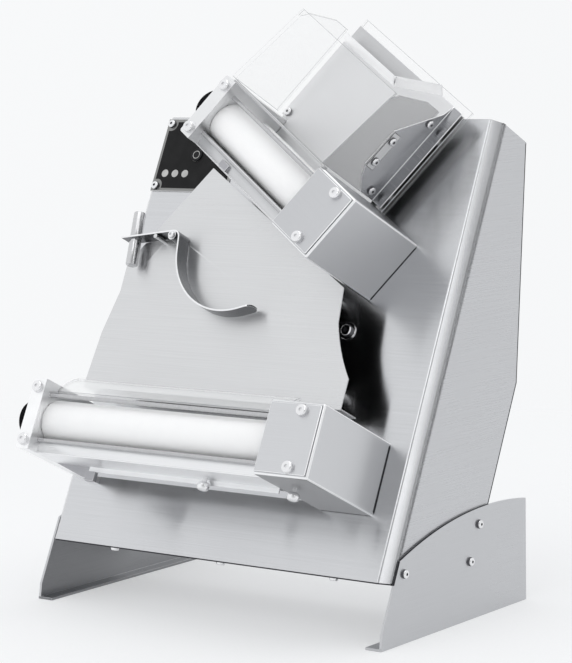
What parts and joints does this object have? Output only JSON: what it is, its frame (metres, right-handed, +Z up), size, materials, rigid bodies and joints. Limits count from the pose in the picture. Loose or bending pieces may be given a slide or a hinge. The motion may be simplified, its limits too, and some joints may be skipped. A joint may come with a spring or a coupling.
{
  "type": "pizza dough roller",
  "caption": "Bench dough roller with a leaning steel body, a tilted upper roller head under a clear hopper, a transfer slide with rocker, and a level lower roller head.",
  "frame": {"origin": "centre of the footprint of the whole object, on the table", "axes": "+X along the lower rollers to the drive side, -Y towards the user, +Z up"},
  "size_m": [0.483, 0.3812, 0.6703],
  "materials": {
    "brushed_stainless": "fine brushed stainless sheet",
    "bright_steel": "bright zinc or stainless fastener",
    "machined_steel": "turned steel",
    "end_aluminium": "satin",
    "white_polymer": "smooth white food-grade polymer",
    "black_plastic": "matt",
    "overlay_black": "satin membrane",
    "key_plastic": "satin",
    "clear_plastic": "clear polycarbonate",
    "belt_rubber": "matt",
    "motor_aluminium": "cast",
    "bush_bronze": "turned bronze"
  },
  "bodies": {
    "machine": {"bearing_plates": "machined_steel", "body_shell": "brushed_stainless", "button_screws": "bright_steel", "cable_gland": "black_plastic", "control_box": "black_plastic", "control_overlay": "overlay_black", "control_plate": "brushed_stainless", "gearbox": "motor_aluminium", "guard_rail": "brushed_stainless", "head_screws": "bright_steel", "hopper_back": "brushed_stainless", "hopper_backstop": "brushed_stainless", "hopper_bracket": "brushed_stainless", "hopper_keeper": "brushed_stainless", "hopper_spacers": "bright_steel", "left_foot": "brushed_stainless", "lower_belt": "belt_rubber", "lower_drive_cover": "brushed_stainless", "lower_drive_housing": "brushed_stainless", "lower_end_plate": "end_aluminium", "lower_front_scraper": "brushed_stainless", "lower_guard": "clear_plastic", "lower_rear_scraper": "brushed_stainless", "motor": "motor_aluminium", "rear_cover": "brushed_stainless", "rear_shield": "clear_plastic", "right_foot": "brushed_stainless", "riser_belt": "belt_rubber", "roller_bushes": "bush_bronze", "scraper_latch": "brushed_stainless", "slide_plate": "brushed_stainless", "slide_standoffs": "bright_steel", "small_screws": "bright_steel", "thumb_screws": "bright_steel", "tie_rods": "machined_steel", "upper_belt": "belt_rubber", "upper_drive_cover": "brushed_stainless", "upper_drive_housing": "brushed_stainless", "upper_end_plate": "end_aluminium", "upper_front_scraper": "brushed_stainless", "upper_guard": "clear_plastic", "upper_rear_scraper": "brushed_stainless"},
    "lower_rear": {"lower_rear_roller": "white_polymer", "lower_rear_shaft": "machined_steel"},
    "lower_front": {"lower_front_roller": "white_polymer", "lower_front_shaft": "machined_steel"},
    "lower_carriage": {"lower_bearing_blocks": "machined_steel"},
    "lower_thickness_knob": {"lower_knob": "black_plastic"},
    "upper_rear": {"upper_rear_roller": "white_polymer", "upper_rear_shaft": "machined_steel"},
    "upper_front": {"upper_front_roller": "white_polymer", "upper_front_shaft": "machined_steel"},
    "upper_carriage": {"upper_bearing_blocks": "machined_steel"},
    "upper_thickness_knob": {"upper_knob": "black_plastic"},
    "drive": {"drive_shaft": "machined_steel"},
    "lay": {"layshaft": "machined_steel"},
    "rocker": {"rocker_arm": "brushed_stainless", "rocker_weight": "bright_steel"},
    "start": {"start_key": "key_plastic"},
    "stop": {"stop_key": "key_plastic"}
  },
  "joints": [
    {"name": "lower_rear_roller_spin", "type": "hinge", "parent": "machine", "child": "lower_rear", "pos_m": [0.0077, -0.09348, 0.19016], "axis": [1, 0, 0], "continuous": true},
    {"name": "lower_thickness_knob_turn", "type": "hinge", "parent": "machine", "child": "lower_thickness_knob", "pos_m": [-0.2003, -0.14112, 0.21339], "axis": [1, 0, 0], "range_deg": [0, 180]},
    {"name": "lower_carriage_slide", "type": "slide", "parent": "machine", "child": "lower_carriage", "axis": [0, -0.8988, 0.4384], "range_m": [0, 0.004]},
    {"name": "lower_front_roller_spin", "type": "hinge", "parent": "lower_carriage", "child": "lower_front", "pos_m": [0.0077, -0.13932, 0.21251], "axis": [1, 0, 0], "continuous": true},
    {"name": "upper_rear_roller_spin", "type": "hinge", "parent": "machine", "child": "upper_rear", "pos_m": [0.04647, 0.03826, 0.46028], "axis": [0.829, -0.2451, -0.5026], "continuous": true},
    {"name": "upper_thickness_knob_turn", "type": "hinge", "parent": "machine", "child": "upper_thickness_knob", "pos_m": [-0.06918, 0.02482, 0.55363], "axis": [0.829, -0.2451, -0.5026], "range_deg": [0, 180]},
    {"name": "upper_carriage_slide", "type": "slide", "parent": "machine", "child": "upper_carriage", "axis": [0, -0.8988, 0.4384], "range_m": [0, 0.004]},
    {"name": "upper_front_roller_spin", "type": "hinge", "parent": "upper_carriage", "child": "upper_front", "pos_m": [0.04647, -0.00757, 0.48264], "axis": [0.829, -0.2451, -0.5026], "continuous": true},
    {"name": "drive_shaft_spin", "type": "hinge", "parent": "machine", "child": "drive", "pos_m": [0.15, 0.02156, 0.13404], "axis": [1, 0, 0], "continuous": true},
    {"name": "layshaft_spin", "type": "hinge", "parent": "machine", "child": "lay", "pos_m": [0.15, 0.13162, 0.35969], "axis": [1, 0, 0], "continuous": true},
    {"name": "rocker_swing", "type": "hinge", "parent": "machine", "child": "rocker", "pos_m": [-0.118, 0.00203, 0.41337], "axis": [0, -0.8988, 0.4384], "range_deg": [-25, 0]},
    {"name": "start_key_press", "type": "slide", "parent": "machine", "child": "start", "axis": [0, 0.8988, -0.4384], "range_m": [0, 0.0008], "stiffness_N_per_m": 800},
    {"name": "stop_key_press", "type": "slide", "parent": "machine", "child": "stop", "axis": [0, 0.8988, -0.4384], "range_m": [0, 0.0008], "stiffness_N_per_m": 800}
  ],
  "couplings": [
    {"joint": "lower_thickness_knob_turn", "follows": "lower_carriage_slide", "rad_per_m": 785.4},
    {"joint": "lower_front_roller_spin", "follows": "lower_rear_roller_spin", "ratio": -1},
    {"joint": "upper_thickness_knob_turn", "follows": "upper_carriage_slide", "rad_per_m": 785.4},
    {"joint": "upper_front_roller_spin", "follows": "lower_rear_roller_spin", "ratio": -1},
    {"joint": "upper_rear_roller_spin", "follows": "lower_rear_roller_spin", "ratio": 1},
    {"joint": "drive_shaft_spin", "follows": "lower_rear_roller_spin", "ratio": 1},
    {"joint": "layshaft_spin", "follows": "lower_rear_roller_spin", "ratio": 1}
  ]
}
